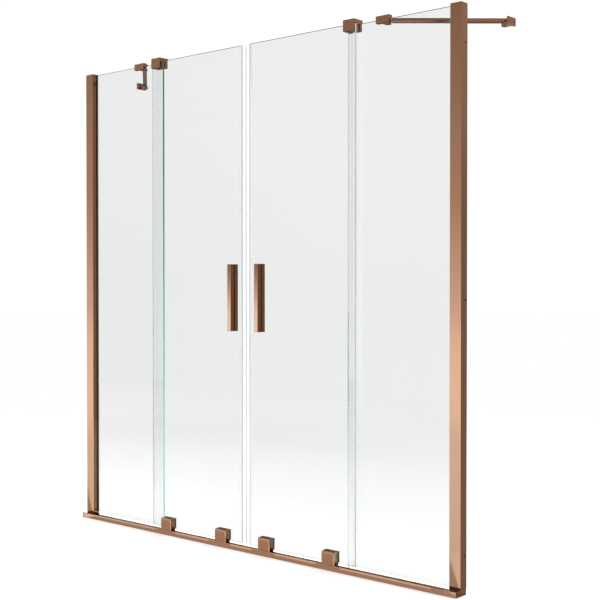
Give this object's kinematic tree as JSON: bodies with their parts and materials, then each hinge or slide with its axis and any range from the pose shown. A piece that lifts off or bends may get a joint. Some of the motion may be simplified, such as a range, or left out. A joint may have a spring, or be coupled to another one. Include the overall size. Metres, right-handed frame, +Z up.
{
  "type": "sliding bath screen",
  "caption": "Frameless sliding bath screen: glass doors on rollers part from the middle along a low rail, in front of fixed panes held by wall posts and stay bars.",
  "frame": {"origin": "centre of the rail's underside, on the rim of the bath", "axes": "+X along the screen to the right as seen from the room, +Y into the bath, +Z up"},
  "size_m": [1.5, 0.2866, 1.5095],
  "materials": {
    "rose_gold_profile": "satin anodised rose gold",
    "rose_gold_cap": "satin rose gold, a little paler",
    "rose_gold_fitting": "satin rose gold coating",
    "soft_gasket": "matt dark brown",
    "clear_glass": "clear toughened glass with ground green edges",
    "stainless_steel": "turned",
    "dark_nylon": "moulded, dark",
    "white_nylon": "moulded",
    "clear_vinyl": "clear extruded vinyl",
    "white_magnet": "white flexible magnet"
  },
  "bodies": {
    "frame": {"bottom_rail": "rose_gold_profile", "rail_cover_strip": "rose_gold_profile", "wall_channel_left": "rose_gold_profile", "wall_channel_right": "rose_gold_profile", "glazing_profile_left": "rose_gold_profile", "glazing_profile_right": "rose_gold_profile", "post_caps": "rose_gold_profile", "rail_end_cap_left": "rose_gold_cap", "rail_end_cap_right": "rose_gold_cap", "top_guide_left": "rose_gold_fitting", "top_guide_right": "rose_gold_fitting", "stay_clamp_left": "rose_gold_fitting", "stay_clamp_right": "rose_gold_fitting", "stay_bar_left": "rose_gold_fitting", "stay_bar_right": "rose_gold_fitting", "stay_wall_bracket_left": "rose_gold_fitting", "stay_wall_bracket_right": "rose_gold_fitting", "glazing_gaskets": "soft_gasket", "clamp_pads": "soft_gasket", "fixed_glass_left": "clear_glass", "fixed_glass_right": "clear_glass", "profile_screws": "stainless_steel", "grub_screws": "stainless_steel", "stay_pivot_pins": "stainless_steel", "guide_liners": "dark_nylon", "rail_gaskets": "clear_vinyl"},
    "door_left": {"sliding_glass_left": "clear_glass", "handle_outside_left": "rose_gold_fitting", "handle_inside_left": "rose_gold_fitting", "trolley_outer_left": "rose_gold_fitting", "trolley_inner_left": "rose_gold_fitting", "clamp_plates_left": "rose_gold_fitting", "handle_screws_left": "stainless_steel", "trolley_screws_left": "stainless_steel", "roller_axles_left": "stainless_steel", "handle_bushes_left": "white_nylon", "meeting_seal_left": "clear_vinyl", "edge_seal_left": "clear_vinyl", "magnet_strip_left": "white_magnet", "trolley_pads_left": "soft_gasket"},
    "door_right": {"sliding_glass_right": "clear_glass", "handle_outside_right": "rose_gold_fitting", "handle_inside_right": "rose_gold_fitting", "trolley_outer_right": "rose_gold_fitting", "trolley_inner_right": "rose_gold_fitting", "clamp_plates_right": "rose_gold_fitting", "handle_screws_right": "stainless_steel", "trolley_screws_right": "stainless_steel", "roller_axles_right": "stainless_steel", "handle_bushes_right": "white_nylon", "meeting_seal_right": "clear_vinyl", "edge_seal_right": "clear_vinyl", "magnet_strip_right": "white_magnet", "trolley_pads_right": "soft_gasket"},
    "roller_left_outer": {"roller_left_outer": "white_nylon"},
    "roller_left_inner": {"roller_left_inner": "white_nylon"},
    "roller_right_outer": {"roller_right_outer": "white_nylon"},
    "roller_right_inner": {"roller_right_inner": "white_nylon"}
  },
  "joints": [
    {"name": "door_left_slide", "type": "slide", "parent": "frame", "child": "door_left", "axis": [-1, 0, 0], "range_m": [0, 0.3]},
    {"name": "door_right_slide", "type": "slide", "parent": "frame", "child": "door_right", "axis": [1, 0, 0], "range_m": [0, 0.3]},
    {"name": "roller_left_outer_spin", "type": "hinge", "parent": "door_left", "child": "roller_left_outer", "pos_m": [-0.331, -0.0166, 0.0233], "axis": [0, -1, 0], "range_deg": [0, 1720]},
    {"name": "roller_left_inner_spin", "type": "hinge", "parent": "door_left", "child": "roller_left_inner", "pos_m": [-0.089, -0.0166, 0.0233], "axis": [0, -1, 0], "range_deg": [0, 1720]},
    {"name": "roller_right_outer_spin", "type": "hinge", "parent": "door_right", "child": "roller_right_outer", "pos_m": [0.331, -0.0166, 0.0233], "axis": [0, 1, 0], "range_deg": [0, 1720]},
    {"name": "roller_right_inner_spin", "type": "hinge", "parent": "door_right", "child": "roller_right_inner", "pos_m": [0.089, -0.0166, 0.0233], "axis": [0, 1, 0], "range_deg": [0, 1720]}
  ],
  "couplings": [
    {"joint": "roller_left_outer_spin", "follows": "door_left_slide", "rad_per_m": 100},
    {"joint": "roller_left_inner_spin", "follows": "door_left_slide", "rad_per_m": 100},
    {"joint": "roller_right_outer_spin", "follows": "door_right_slide", "rad_per_m": 100},
    {"joint": "roller_right_inner_spin", "follows": "door_right_slide", "rad_per_m": 100}
  ]
}
